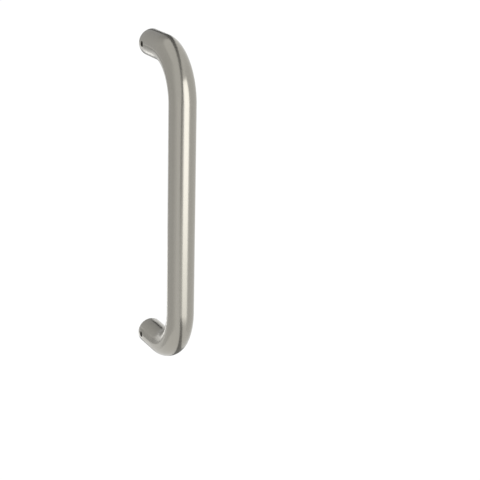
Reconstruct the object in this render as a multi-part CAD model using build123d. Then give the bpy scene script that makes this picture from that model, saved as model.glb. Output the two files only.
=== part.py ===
from build123d import *

import os
from math import radians, tan

# A D-shaped door pull handle, made from one length of round stainless tube.
#
# The tube is bent through a right angle near each end, so that its two feet meet
# the door squarely. A turned bush is seated in each foot, flush with the tube's
# end. Each bush is tapped along its axis for the screw that comes through the
# door, and tapped across for a grub screw, which goes in through a plain hole in
# the side of the tube and locks the door screw.
#
# Frame: the door's face is the plane Y = 0, and the handle stands out to -Y.
# +Z is up, along the grip. The origin is midway between the two fixing holes.

# Driving sizes, in millimetres.
TUBE_DIAMETER = 20.0
TUBE_WALL = 1.5
FIXING_CENTRES = 225.0  # from one foot's axis to the other's
GRIP_STAND_OFF = 57.5  # from the door's face to the grip's axis
BEND_RADIUS = 35.0  # at the tube's centreline
TUBE_END_ROUND = 0.4  # the deburred outer edge of each foot

BUSH_LENGTH = 24.0
BUSH_CLEARANCE = 0.02  # between the bush and the tube's bore, on radius
BUSH_LEAD_CHAMFER = 1.0  # at the end that goes in first

DOOR_SCREW_HOLE_DIAMETER = 6.8  # the tapping size of an M8 thread
DOOR_SCREW_HOLE_DEPTH = 18.0
DOOR_SCREW_HOLE_COUNTERSINK = 0.3  # the deburred edge at the mouth
DRILL_POINT_HALF_ANGLE = 59.0

GRUB_THREAD_DIAMETER = 3.55  # the pitch diameter of an M4 thread
GRUB_THREAD_CLEARANCE = 0.02  # on radius
GRUB_ACCESS_DIAMETER = 4.2  # the plain hole through the tube's wall
GRUB_ACCESS_CHAMFER = 0.2  # at that hole's mouth
GRUB_FROM_DOOR = 5.4  # from the door's face to the grub screw's axis
GRUB_RECESS = 1.0  # from the bush's side in to the grub screw's outer end
GRUB_TIP_GAP = 0.1  # between its tip and the door screw's hole
GRUB_END_CHAMFER = 0.35
GRUB_CUP_DIAMETER = 1.8  # the hollow of the cup point
GRUB_CUP_DEPTH = 0.4
HEX_KEY_SIZE = 2.0  # across flats
HEX_SOCKET_DEPTH = 1.8

# Worked out from the driving sizes.
TUBE_RADIUS = TUBE_DIAMETER / 2
TUBE_BORE_RADIUS = TUBE_RADIUS - TUBE_WALL
BUSH_RADIUS = TUBE_BORE_RADIUS - BUSH_CLEARANCE
DOOR_SCREW_HOLE_RADIUS = DOOR_SCREW_HOLE_DIAMETER / 2
GRUB_HOLE_RADIUS = GRUB_THREAD_DIAMETER / 2
GRUB_OUTER_END = BUSH_RADIUS - GRUB_RECESS  # from the foot's axis
GRUB_LENGTH = GRUB_OUTER_END - DOOR_SCREW_HOLE_RADIUS - GRUB_TIP_GAP
FOOT_HEIGHTS = {"top": FIXING_CENTRES / 2, "bottom": -FIXING_CENTRES / 2}
CUT_MARGIN = 1.0  # how far a cutting tool runs past a face


def foot_plane(height):
    """The door's face at one foot's axis, looking away from the door."""
    return Plane(origin=(0, 0, height), z_dir=(0, -1, 0))


def grub_plane(height, distance_from_axis):
    """A plane across the grub screw's axis, looking in from the -X side."""
    origin = (-distance_from_axis, -GRUB_FROM_DOOR, height)
    return Plane(origin=origin, z_dir=(1, 0, 0))


def rod(radius, length):
    """A cylinder that starts on its plane and runs along the plane's axis."""
    return Cylinder(radius, length, align=(Align.CENTER, Align.CENTER, Align.MIN))


def taper(start_radius, end_radius, length):
    """A cone that starts on its plane and runs along the plane's axis."""
    return Cone(
        start_radius,
        end_radius,
        length,
        align=(Align.CENTER, Align.CENTER, Align.MIN),
    )


def make_tube_centreline():
    """The path of the tube, from the top foot's end to the bottom foot's end."""
    return FilletPolyline(
        (0, 0, FOOT_HEIGHTS["top"]),
        (0, -GRIP_STAND_OFF, FOOT_HEIGHTS["top"]),
        (0, -GRIP_STAND_OFF, FOOT_HEIGHTS["bottom"]),
        (0, 0, FOOT_HEIGHTS["bottom"]),
        radius=BEND_RADIUS,
    )


def make_access_cut(height):
    """The drilled and deburred hole in the tube's side for one grub screw."""
    beside_foot = grub_plane(height, TUBE_RADIUS + CUT_MARGIN)
    drill = rod(GRUB_ACCESS_DIAMETER / 2, TUBE_RADIUS + CUT_MARGIN)
    deburr = taper(
        GRUB_ACCESS_DIAMETER / 2 + GRUB_ACCESS_CHAMFER + CUT_MARGIN,
        GRUB_ACCESS_DIAMETER / 2,
        GRUB_ACCESS_CHAMFER + CUT_MARGIN,
    )
    return beside_foot * (drill + deburr)


def make_grip_tube():
    """The bent tube, open at both feet, with the holes for the grub screws."""
    centreline = make_tube_centreline()
    start = foot_plane(FOOT_HEIGHTS["top"])
    outside = sweep(start * Circle(TUBE_RADIUS), path=centreline)
    bore = sweep(start * Circle(TUBE_BORE_RADIUS), path=centreline)
    ends = [
        edge
        for edge in outside.edges().filter_by(GeomType.CIRCLE)
        if abs(edge.center().Y) < TUBE_WALL / 2
    ]
    tube = fillet(ends, TUBE_END_ROUND) - bore
    for height in FOOT_HEIGHTS.values():
        tube -= make_access_cut(height)
    return tube


def make_foot_bush(height):
    """The turned bush in one foot, flush with the tube's end."""
    blank = rod(BUSH_RADIUS, BUSH_LENGTH)
    blank = chamfer(blank.edges().sort_by(Axis.Z)[-1], BUSH_LEAD_CHAMFER)
    hole = rod(DOOR_SCREW_HOLE_RADIUS, DOOR_SCREW_HOLE_DEPTH)
    point_depth = DOOR_SCREW_HOLE_RADIUS / tan(radians(DRILL_POINT_HALF_ANGLE))
    point = Pos(0, 0, DOOR_SCREW_HOLE_DEPTH) * taper(
        DOOR_SCREW_HOLE_RADIUS, 0, point_depth
    )
    mouth = taper(
        DOOR_SCREW_HOLE_RADIUS + DOOR_SCREW_HOLE_COUNTERSINK,
        DOOR_SCREW_HOLE_RADIUS,
        DOOR_SCREW_HOLE_COUNTERSINK,
    )
    bush = foot_plane(height) * (blank - hole - point - mouth)
    beside_bush = grub_plane(height, BUSH_RADIUS + CUT_MARGIN)
    return bush - beside_bush * rod(GRUB_HOLE_RADIUS, BUSH_RADIUS + CUT_MARGIN)


def make_grub_screw(height):
    """A socket set screw with a cup point, just short of the door screw's hole."""
    blank = rod(GRUB_HOLE_RADIUS - GRUB_THREAD_CLEARANCE, GRUB_LENGTH)
    blank = chamfer(blank.edges().filter_by(GeomType.CIRCLE), GRUB_END_CHAMFER)
    hexagon = RegularPolygon(HEX_KEY_SIZE / 2, 6, major_radius=False)
    socket = extrude(hexagon, HEX_SOCKET_DEPTH)
    cup = Pos(0, 0, GRUB_LENGTH - GRUB_CUP_DEPTH) * taper(
        0, GRUB_CUP_DIAMETER / 2, GRUB_CUP_DEPTH
    )
    return grub_plane(height, GRUB_OUTER_END) * (blank - socket - cup)


os.makedirs("parts", exist_ok=True)
export_step(make_grip_tube(), "parts/grip_tube.step")
for foot, foot_height in FOOT_HEIGHTS.items():
    export_step(make_foot_bush(foot_height), f"parts/{foot}_foot_bush.step")
    export_step(make_grub_screw(foot_height), f"parts/{foot}_grub_screw.step")
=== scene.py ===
"""A satin stainless door pull handle in a plain white studio."""
import logging
from dataclasses import dataclass
from enum import Enum
from math import atan2, cos, hypot, pi, radians, sin
from typing import Any, ClassVar, Sequence, Union

import bpy
from mathutils import Matrix, Vector


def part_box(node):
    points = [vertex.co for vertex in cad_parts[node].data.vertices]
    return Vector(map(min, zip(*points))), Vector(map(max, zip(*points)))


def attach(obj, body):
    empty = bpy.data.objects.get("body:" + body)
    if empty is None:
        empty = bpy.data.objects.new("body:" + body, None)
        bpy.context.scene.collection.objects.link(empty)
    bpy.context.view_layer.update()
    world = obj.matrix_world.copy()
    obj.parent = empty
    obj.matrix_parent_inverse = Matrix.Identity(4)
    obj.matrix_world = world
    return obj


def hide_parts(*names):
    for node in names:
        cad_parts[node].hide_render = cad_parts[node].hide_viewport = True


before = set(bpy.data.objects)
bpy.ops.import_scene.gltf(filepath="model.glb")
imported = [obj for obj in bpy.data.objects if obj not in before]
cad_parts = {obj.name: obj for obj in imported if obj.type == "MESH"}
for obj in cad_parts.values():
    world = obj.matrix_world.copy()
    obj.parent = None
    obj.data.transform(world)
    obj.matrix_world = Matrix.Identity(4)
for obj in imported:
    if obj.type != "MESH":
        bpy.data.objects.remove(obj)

logging.basicConfig(level=logging.INFO, format="%(levelname)s %(message)s")
LOG = logging.getLogger("handle")

MM = 0.001
BODY = "root"
WHITE = (1.0, 1.0, 1.0, 1.0)

# Which way a Solidify modifier lets a wall grow.
WALL_INWARDS = -1.0

# A Mix node has several sockets of one name, so the ones for colours go by number.
MIX_FACTOR = 0
MIX_START = 6
MIX_END = 7
MIX_RESULT = 2

Colour = tuple[float, float, float]
Point = tuple[float, float, float]


class Brushing(Enum):
    """Which way the fine lines of a brushed finish run."""

    AROUND = "around"
    FACING = "facing"


class Socket:
    """A shader output that takes part in ordinary arithmetic."""

    def __init__(self, graph: "Graph", output: bpy.types.NodeSocket) -> None:
        """Wrap an output.

        Args:
            graph: The graph the output belongs to.
            output: The output itself.
        """
        self.graph = graph
        self.output = output

    def _math(self, operation: str, left: "Value", right: "Value") -> "Socket":
        """Add one Math node.

        Args:
            operation: Name of the operation.
            left: First operand.
            right: Second operand.

        Returns:
            The node's result.
        """
        settings = {"operation": operation}
        return self.graph.node("ShaderNodeMath", settings, {0: left, 1: right})

    def __add__(self, other: "Value") -> "Socket":
        """Return the sum."""
        return self._math("ADD", self, other)

    def __radd__(self, other: "Value") -> "Socket":
        """Return the sum, with this socket on the right."""
        return self._math("ADD", other, self)

    def __sub__(self, other: "Value") -> "Socket":
        """Return the difference."""
        return self._math("SUBTRACT", self, other)

    def __rsub__(self, other: "Value") -> "Socket":
        """Return the difference, with this socket on the right."""
        return self._math("SUBTRACT", other, self)

    def __mul__(self, other: "Value") -> "Socket":
        """Return the product."""
        return self._math("MULTIPLY", self, other)

    def __rmul__(self, other: "Value") -> "Socket":
        """Return the product, with this socket on the right."""
        return self._math("MULTIPLY", other, self)

    def clamped(self) -> "Socket":
        """Return this value held between 0 and 1."""
        return self.graph.node("ShaderNodeClamp", {}, {"Value": self})


Value = Union[Socket, float, int]


class Graph:
    """A shader's node tree, built up one node at a time."""

    def __init__(self, owner: Any) -> None:
        """Empty the owner's node tree.

        Args:
            owner: A material or a world.
        """
        owner.use_nodes = True
        self.tree = owner.node_tree
        self.tree.nodes.clear()

    def node(
        self,
        kind: str,
        settings: dict[str, Any],
        values: dict[Union[int, str], Any],
        output: Union[int, str] = 0,
    ) -> Socket:
        """Add a node.

        Args:
            kind: The node's type.
            settings: Properties to set on it.
            values: A constant or a Socket for each input.
            output: Which output to return.

        Returns:
            The chosen output.
        """
        made = self.tree.nodes.new(kind)
        for name, setting in settings.items():
            setattr(made, name, setting)
        for name, value in values.items():
            if isinstance(value, Socket):
                self.tree.links.new(value.output, made.inputs[name])
            else:
                made.inputs[name].default_value = value
        found = made.outputs[output] if len(made.outputs) else None
        return Socket(self, found)

    def rays(self, *kinds: str) -> Socket:
        """Return 1 for rays of any of these kinds, and 0 for the others.

        Args:
            kinds: Names of the ray kinds.

        Returns:
            The mask.
        """
        total: Value = 0.0
        for kind in kinds:
            total = self.node("ShaderNodeLightPath", {}, {}, kind) + total
        return total.clamped()

    def mixed(self, factor: Value, start: Colour, end: Colour) -> Socket:
        """Return a colour between two colours.

        Args:
            factor: 0 for the first colour and 1 for the second.
            start: The first colour.
            end: The second colour.

        Returns:
            The mixed colour.
        """
        settings = {"data_type": "RGBA"}
        values = {
            MIX_FACTOR: factor,
            MIX_START: (*start, 1.0),
            MIX_END: (*end, 1.0),
        }
        return self.node("ShaderNodeMix", settings, values, MIX_RESULT)


@dataclass(frozen=True)
class SteelFinish:
    """A bare or blackened steel surface with fine tool lines.

    The tone is how far the lines lighten, darken and roughen the steel. The line
    depth is the share that shows of a groove's full depth.
    """

    name: str
    colour: Colour
    roughness: float
    brushing: Brushing
    line_depth: float
    metallic: float = 1.0
    line_spacing: float = 0.25 * MM
    line_length: float = 6.0 * MM
    groove: float = 0.01 * MM
    grain: float = 2.0
    tone: float = 0.04

    def make(self) -> bpy.types.Material:
        """Build the material.

        Returns:
            The finished material.
        """
        material = bpy.data.materials.new(self.name)
        graph = Graph(material)
        lines = self._lines(graph)
        darker = tuple(c * (1.0 - self.tone) for c in self.colour)
        lighter = tuple(c * (1.0 + self.tone) for c in self.colour)
        bump = graph.node(
            "ShaderNodeBump",
            {},
            {"Strength": self.line_depth, "Distance": self.groove, "Height": lines},
        )
        surface = graph.node(
            "ShaderNodeBsdfPrincipled",
            {},
            {
                "Base Color": graph.mixed(lines, darker, lighter),
                "Metallic": self.metallic,
                "Roughness": self.roughness + (lines - 0.5) * self.tone,
                "Normal": bump,
            },
        )
        graph.node("ShaderNodeOutputMaterial", {}, {"Surface": surface})
        return material

    def _lines(self, graph: Graph) -> Socket:
        """Draw the pattern of the tool lines.

        Args:
            graph: The material's graph.

        Returns:
            The pattern, between 0 and 1.
        """
        along, across = 1 / self.line_length, 1 / self.line_spacing
        if self.brushing is Brushing.AROUND:
            settings = {"attribute_name": GripTube.UNBENT}
            place = graph.node("ShaderNodeAttribute", settings, {}, "Vector")
            scale = (along, along, across)
        else:
            place = graph.node("ShaderNodeTexCoord", {}, {}, "Object")
            scale = (along, across, along)
        stretched = graph.node(
            "ShaderNodeVectorMath", {"operation": "MULTIPLY"}, {0: place, 1: scale}
        )
        return graph.node(
            "ShaderNodeTexNoise",
            {},
            {"Vector": stretched, "Scale": 1.0, "Detail": self.grain},
        )


SATIN_STAINLESS = SteelFinish(
    name="satin_stainless",
    colour=(0.366, 0.351, 0.312),
    roughness=0.2,
    brushing=Brushing.AROUND,
    line_depth=0.3,
)
TURNED_STEEL = SteelFinish(
    name="turned_steel",
    colour=(0.36, 0.35, 0.33),
    roughness=0.28,
    brushing=Brushing.FACING,
    line_depth=0.2,
)
BLACK_STEEL = SteelFinish(
    name="black_steel",
    colour=(0.012, 0.012, 0.012),
    roughness=0.45,
    brushing=Brushing.FACING,
    line_depth=0.1,
    metallic=0.3,
)


def deselect_all() -> None:
    """Leave object mode with nothing selected."""
    if bpy.context.object and bpy.context.object.mode != "OBJECT":
        bpy.ops.object.mode_set(mode="OBJECT")
    bpy.ops.object.select_all(action="DESELECT")


def select_only(target: bpy.types.Object) -> None:
    """Select one object and make it the active one.

    Args:
        target: The object to select.
    """
    deselect_all()
    target.select_set(True)
    bpy.context.view_layer.objects.active = target


def apply_modifier(target: bpy.types.Object, kind: str, **settings: Any) -> None:
    """Add a modifier and apply it.

    Args:
        target: The object to change.
        kind: The modifier's type.
        settings: Properties to set on it.
    """
    modifier = target.modifiers.new(kind.lower(), kind)
    for name, setting in settings.items():
        setattr(modifier, name, setting)
    select_only(target)
    bpy.ops.object.modifier_apply(modifier=modifier.name)


@dataclass
class GripTube:
    """The bent tube: a grip, a bend at each end and a short leg to each foot.

    A ring of edges marks off a band at each foot, where its hole is drilled.
    """

    UNBENT: ClassVar[str] = "unbent"

    radius: float
    stand_off: float
    half_centres: float
    finish: SteelFinish
    wall: float = 1.5 * MM
    bend_radius: float = 35.0 * MM
    hole_radius: float = 2.1 * MM
    hole_chamfer: float = 0.2 * MM
    hole_from_door: float = 5.4 * MM
    hole_margin: float = 1.0 * MM
    foot_band: float = 10.0 * MM
    end_round: float = 0.4 * MM
    merge_distance: float = 0.001 * MM
    sides: int = 128
    bend_steps: int = 48
    round_steps: int = 3
    hole_sides: int = 64
    sharp_angle: float = radians(60.0)
    smooth_angle: float = radians(30.0)

    @classmethod
    def from_frame(cls, finish: SteelFinish) -> "GripTube":
        """Take the tube's main sizes from its solid.

        Args:
            finish: The tube's finish.

        Returns:
            The tube, not built yet.
        """
        low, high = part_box("grip_tube")
        radius = (high.x - low.x) / 2
        return cls(
            radius=radius,
            stand_off=-low.y - radius,
            half_centres=high.z - radius,
            finish=finish,
        )

    @property
    def leg(self) -> float:
        """The straight length from a foot to the start of its bend."""
        return self.stand_off - self.bend_radius

    @property
    def half_grip(self) -> float:
        """Half the straight length between the bends."""
        return self.half_centres - self.bend_radius

    def build(self) -> bpy.types.Object:
        """Build the tube and dress it.

        Returns:
            The finished tube.
        """
        tube = self._sweep()
        apply_modifier(
            tube,
            "SOLIDIFY",
            thickness=self.wall,
            offset=WALL_INWARDS,
            use_even_offset=True,
        )
        apply_modifier(
            tube,
            "BEVEL",
            width=self.end_round,
            segments=self.round_steps,
            limit_method="ANGLE",
            angle_limit=self.sharp_angle,
        )
        for height in (self.half_centres, -self.half_centres):
            self._drill(tube, height)
        for vertex in tube.data.vertices:
            # The feet end flush with the door's face.
            vertex.co.y = min(vertex.co.y, 0.0)
        select_only(tube)
        bpy.ops.object.shade_smooth_by_angle(angle=self.smooth_angle)
        self._store_unbent(tube)
        tube.data.materials.append(self.finish.make())
        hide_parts("grip_tube")
        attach(tube, BODY)
        LOG.info("grip tube: %d faces", len(tube.data.polygons))
        return tube

    def _sweep(self) -> bpy.types.Object:
        """Draw the tube's outer surface from the top foot to the bottom foot.

        Returns:
            The surface, open at both feet, with its faces outwards.
        """
        deselect_all()
        bpy.ops.mesh.primitive_circle_add(
            vertices=self.sides,
            radius=self.radius,
            fill_type="NOTHING",
            location=(0.0, 0.0, self.half_centres),
            rotation=(pi / 2, 0.0, 0.0),
        )
        tube = bpy.context.object
        tube.name = "satin_grip_tube"
        bpy.ops.object.transform_apply(location=True, rotation=True, scale=True)
        bpy.ops.object.mode_set(mode="EDIT")
        bpy.ops.mesh.select_all(action="SELECT")
        self._extrude((0.0, -self.foot_band, 0.0))
        self._extrude((0.0, -(self.leg - self.foot_band), 0.0))
        self._bend(self.half_grip)
        self._extrude((0.0, 0.0, -2 * self.half_grip))
        self._bend(-self.half_grip)
        self._extrude((0.0, self.leg - self.foot_band, 0.0))
        self._extrude((0.0, self.foot_band, 0.0))
        bpy.ops.mesh.select_all(action="SELECT")
        bpy.ops.mesh.remove_doubles(threshold=self.merge_distance)
        bpy.ops.mesh.normals_make_consistent(inside=False)
        bpy.ops.object.mode_set(mode="OBJECT")
        self._face_outwards(tube)
        return tube

    def _extrude(self, step: Sequence[float]) -> None:
        """Carry the open ring of the tube straight on."""
        bpy.ops.mesh.extrude_region_move(TRANSFORM_OT_translate={"value": step})

    def _bend(self, height: float) -> None:
        """Turn the open ring of the tube through a right angle.

        Args:
            height: Height of the middle of the bend's circle.
        """
        bpy.ops.mesh.spin(
            steps=self.bend_steps,
            angle=pi / 2,
            center=(0.0, -self.leg, height),
            axis=(-1.0, 0.0, 0.0),
        )

    def _face_outwards(self, tube: bpy.types.Object) -> None:
        """Turn the faces over if they point at the tube's axis.

        Args:
            tube: The outer surface, whose first face lies on the top leg.
        """
        face = tube.data.polygons[0]
        from_axis = Vector((face.center.x, 0.0, face.center.z - self.half_centres))
        if face.normal.dot(from_axis) < 0:
            bpy.ops.object.mode_set(mode="EDIT")
            bpy.ops.mesh.select_all(action="SELECT")
            bpy.ops.mesh.flip_normals()
            bpy.ops.object.mode_set(mode="OBJECT")

    def _drill(self, tube: bpy.types.Object, height: float) -> None:
        """Drill and deburr the hole for one grub screw.

        Args:
            tube: The tube.
            height: Height of the foot's axis.
        """
        reach = self.radius + self.hole_margin
        flare = self.hole_chamfer + self.hole_margin
        drill = (self.hole_radius, self.hole_radius, reach)
        deburr = (self.hole_radius, self.hole_radius + flare, flare)
        for inner, outer, length in (drill, deburr):
            deselect_all()
            bpy.ops.mesh.primitive_cone_add(
                vertices=self.hole_sides,
                radius1=inner,
                radius2=outer,
                depth=length,
                location=(-(reach - length / 2), -self.hole_from_door, height),
                rotation=(0.0, -pi / 2, 0.0),
            )
            cutter = bpy.context.object
            apply_modifier(
                tube, "BOOLEAN", object=cutter, operation="DIFFERENCE", solver="EXACT"
            )
            bpy.data.objects.remove(cutter, do_unlink=True)

    def _unbend(self, point: Vector) -> Point:
        """Find a point's place on the tube as if it were straight.

        Args:
            point: A point of the bent tube.

        Returns:
            Its distances to the side of the axis, out from it and along it.
        """
        side = 1.0 if point.z >= 0 else -1.0
        height = abs(point.z)
        quarter = self.bend_radius * pi / 2
        if height <= self.half_grip:
            along = height
            out = -point.y - self.stand_off
        elif point.y >= -self.leg:
            along = self.half_grip + quarter + self.leg + point.y
            out = height - self.half_centres
        else:
            up = height - self.half_grip
            forward = -point.y - self.leg
            along = self.half_grip + self.bend_radius * atan2(up, forward)
            out = hypot(up, forward) - self.bend_radius
        return point.x, out, side * along

    def _store_unbent(self, tube: bpy.types.Object) -> None:
        """Store where each point lies along the straightened tube.

        Args:
            tube: The bent tube.
        """
        places = tube.data.attributes.new(self.UNBENT, "FLOAT_VECTOR", "POINT")
        flat = [n for v in tube.data.vertices for n in self._unbend(v.co)]
        places.data.foreach_set("vector", flat)


@dataclass
class FootFittings:
    """The bushes and grub screws, which keep their solids."""

    bush_finish: SteelFinish
    screw_finish: SteelFinish
    bushes: tuple[str, ...] = ("top_foot_bush", "bottom_foot_bush")
    screws: tuple[str, ...] = ("top_grub_screw", "bottom_grub_screw")

    def dress(self) -> None:
        """Give the fittings their materials."""
        for names, finish in (
            (self.bushes, self.bush_finish),
            (self.screws, self.screw_finish),
        ):
            material = finish.make()
            for name in names:
                bpy.data.objects[name].data.materials[0] = material
                LOG.info("%s: %s", name, finish.name)


@dataclass(frozen=True)
class StudioCard:
    """A curved card round the handle, seen only in its reflections.

    It spans a range of turns from the camera's direction, in degrees, and a range
    of heights. Its glow runs evenly between the levels at its corners: left and
    right at the bottom, then left and right at the top.
    """

    GLOW: ClassVar[str] = "glow"

    name: str
    turns: tuple[float, float]
    spans: tuple[float, float]
    levels: tuple[float, float, float, float]
    distance: float = 1.3
    columns: int = 24
    rows: int = 6

    def build(self, towards_camera: float) -> bpy.types.Object:
        """Put up the card.

        Args:
            towards_camera: Direction of the camera round the handle, in radians.

        Returns:
            The card.
        """
        points, glows = [], []
        for row in range(self.rows + 1):
            v = row / self.rows
            for column in range(self.columns + 1):
                u = column / self.columns
                points.append(self._point(u, v, towards_camera))
                glows += [self._level(u, v)] * 3 + [1.0]
        mesh = bpy.data.meshes.new(self.name)
        mesh.from_pydata(points, [], self._faces())
        stored = mesh.attributes.new(self.GLOW, "FLOAT_COLOR", "POINT")
        stored.data.foreach_set("color", glows)
        card = bpy.data.objects.new(self.name, mesh)
        bpy.context.collection.objects.link(card)
        card.visible_camera = False
        card.visible_diffuse = False
        card.visible_shadow = False
        card.visible_transmission = False
        mesh.materials.append(self._paint())
        LOG.info(
            "card %s: glow %.2f to %.2f", self.name, min(self.levels), max(self.levels)
        )
        return card

    def _point(self, u: float, v: float, towards_camera: float) -> Point:
        """Find a point of the card, on an upright cylinder.

        Args:
            u: Share of the way across the card.
            v: Share of the way up it.
            towards_camera: Direction of the camera round the handle, in radians.

        Returns:
            The point.
        """
        start, end = self.turns
        bottom, top = self.spans
        angle = towards_camera + radians(start + (end - start) * u)
        height = bottom + (top - bottom) * v
        return self.distance * cos(angle), self.distance * sin(angle), height

    def _level(self, u: float, v: float) -> float:
        """Find how strongly the card glows at a point.

        Args:
            u: Share of the way across the card.
            v: Share of the way up it.

        Returns:
            The glow.
        """
        left_low, right_low, left_high, right_high = self.levels
        low = left_low + (right_low - left_low) * u
        high = left_high + (right_high - left_high) * u
        return low + (high - low) * v

    def _faces(self) -> list[tuple[int, int, int, int]]:
        """List the card's faces.

        Returns:
            The numbers of each face's four points.
        """
        wide = self.columns + 1
        firsts = (
            row * wide + column
            for row in range(self.rows)
            for column in range(self.columns)
        )
        return [(i, i + 1, i + wide + 1, i + wide) for i in firsts]

    def _paint(self) -> bpy.types.Material:
        """Build the card's glowing surface.

        Returns:
            The material.
        """
        material = bpy.data.materials.new(self.name)
        graph = Graph(material)
        settings = {"attribute_name": self.GLOW}
        colour = graph.node("ShaderNodeAttribute", settings, {}, "Color")
        glow = graph.node("ShaderNodeEmission", {}, {"Color": colour, "Strength": 1.0})
        graph.node("ShaderNodeOutputMaterial", {}, {"Surface": glow})
        return material


@dataclass(frozen=True)
class ArchCard(StudioCard):
    """A card that arches through the camera's upright plane.

    Its turns are angles up from the level, past the zenith to the far side, and
    its spans are the distances of its edges to the left and right of that plane.
    At the zenith it has leaned this far to the right.
    """

    distance: float = 1.25
    lean: float = 0.0

    def _point(self, u: float, v: float, towards_camera: float) -> Point:
        """Find a point of the card, on a cylinder lying across the plane.

        Args:
            u: Share of the way along the arch.
            v: Share of the way from its left edge to its right.
            towards_camera: Direction of the camera round the handle, in radians.

        Returns:
            The point.
        """
        start, end = self.turns
        left, right = self.spans
        rise = radians(start + (end - start) * u)
        out = self.distance * cos(rise)
        aside = left + (right - left) * v + self.lean * sin(rise)
        x = out * cos(towards_camera) - aside * sin(towards_camera)
        y = out * sin(towards_camera) + aside * cos(towards_camera)
        return x, y, self.distance * sin(rise)


# The bright streak down the grip, and how it fades towards the bottom.
LONG_LIGHTS = (
    StudioCard("long_light", (12.0, 53.0), (-0.36, 1.0), (2.7,) * 4),
    StudioCard("long_light_low", (12.0, 53.0), (-0.56, -0.36), (1.75, 1.75, 2.7, 2.7)),
    StudioCard("long_light_foot", (12.0, 53.0), (-1.1, -0.56), (1.0, 1.0, 1.75, 1.75)),
)

# The soft greys on both sides of the streak.
SIDE_CARDS = (
    StudioCard("right_side", (62.0, 150.0), (-1.4, 1.4), (0.88, 1.0, 0.88, 1.0)),
    StudioCard("left_side", (-127.0, -72.0), (-1.2, 0.2), (0.8, 0.8, 0.76, 0.76)),
    StudioCard("left_above", (-127.0, -72.0), (0.2, 1.6), (0.76, 0.76, 0.82, 0.82)),
    StudioCard("left_edge", (-72.0, -38.0), (-1.2, 0.2), (0.8, 1.0, 0.76, 1.0)),
    StudioCard("left_edge_above", (-72.0, -38.0), (0.2, 1.6), (0.76, 1.0, 0.82, 1.0)),
)

# Darker cards and one light, behind the handle.
BACK_CARDS = (
    StudioCard("back_above", (-181.0, -127.0), (-0.05, 1.6), (0.5, 0.72, 0.4, 0.75)),
    StudioCard("back_gap", (-140.0, -127.0), (-0.6, -0.1), (0.55,) * 4),
    StudioCard("back_light", (-160.0, -147.0), (-0.8, -0.45), (1.9,) * 4),
    StudioCard("back_edge", (-181.0, -162.0), (-1.0, 0.1), (0.45,) * 4),
)

# The thin dark line over both bends and down the grip, faint on its lower half.
ARCH_CARDS = (
    ArchCard(
        "arch_above", (-16.0, 168.0), (-0.22, 0.1), (0.5, 0.12, 0.5, 0.12), lean=0.36
    ),
    ArchCard("arch_front", (-27.0, -16.0), (-0.22, 0.1), (0.95,) * 4),
    ArchCard("arch_below", (-150.0, -27.0), (-0.22, 0.1), (0.28,) * 4, lean=-0.36),
)


@dataclass
class Studio:
    """White surroundings, a pale floor, the cards and the camera.

    The camera has a place and the directions of its right side, top and back.
    """

    floor_height: float = -1.6
    floor_size: float = 40.0
    floor_colour: Colour = (0.9, 0.9, 0.9)
    soft_light: float = 1.15
    cards: tuple[StudioCard, ...] = LONG_LIGHTS + SIDE_CARDS + BACK_CARDS + ARCH_CARDS
    lens: float = 112.5
    sensor_width: float = 36.0
    camera_place: Point = (-0.416528, -1.005476, 0.308489)
    camera_right: Point = (0.901069, -0.433102, 0.02229)
    camera_up: Point = (0.11239, 0.282851, 0.952557)
    camera_back: Point = (-0.418859, -0.855814, 0.303544)

    def build(self) -> None:
        """Set up everything round the handle."""
        self._world()
        self._floor()
        towards_camera = atan2(self.camera_place[1], self.camera_place[0])
        for card in self.cards:
            card.build(towards_camera)
        self._camera()
        bpy.context.scene.view_settings.view_transform = "Standard"

    def _world(self) -> None:
        """Make the surroundings white to the eye and softly lit."""
        world = bpy.data.worlds.new("white_studio")
        bpy.context.scene.world = world
        graph = Graph(world)
        seen = graph.rays("Is Camera Ray", "Is Glossy Ray", "Is Transmission Ray")
        strength = self.soft_light + seen * (1.0 - self.soft_light)
        glow = graph.node(
            "ShaderNodeBackground", {}, {"Color": WHITE, "Strength": strength}
        )
        graph.node("ShaderNodeOutputWorld", {}, {"Surface": glow})

    def _floor(self) -> None:
        """Lay the pale floor, well below the handle."""
        deselect_all()
        bpy.ops.mesh.primitive_plane_add(
            size=self.floor_size, location=(0.0, 0.0, self.floor_height)
        )
        floor = bpy.context.object
        floor.name = "floor"
        material = bpy.data.materials.new("pale_floor")
        graph = Graph(material)
        surface = graph.node(
            "ShaderNodeBsdfDiffuse", {}, {"Color": (*self.floor_colour, 1.0)}
        )
        graph.node("ShaderNodeOutputMaterial", {}, {"Surface": surface})
        floor.data.materials.append(material)

    def _camera(self) -> None:
        """Set the camera where the photograph was taken from."""
        data = bpy.data.cameras.new("camera")
        data.sensor_width = self.sensor_width
        data.lens = self.lens
        camera = bpy.data.objects.new("camera", data)
        bpy.context.collection.objects.link(camera)
        columns = (
            self.camera_right,
            self.camera_up,
            self.camera_back,
            self.camera_place,
        )
        turned = Matrix.Identity(4)
        for index, column in enumerate(columns):
            turned.col[index][:3] = column
        camera.matrix_world = turned
        bpy.context.scene.camera = camera


def main() -> None:
    """Build the scene and log the tube's face count, the fittings' finishes and the
    cards' glows.
    """
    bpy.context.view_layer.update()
    GripTube.from_frame(SATIN_STAINLESS).build()
    FootFittings(TURNED_STEEL, BLACK_STEEL).dress()
    Studio().build()


if __name__ == "__main__":
    main()
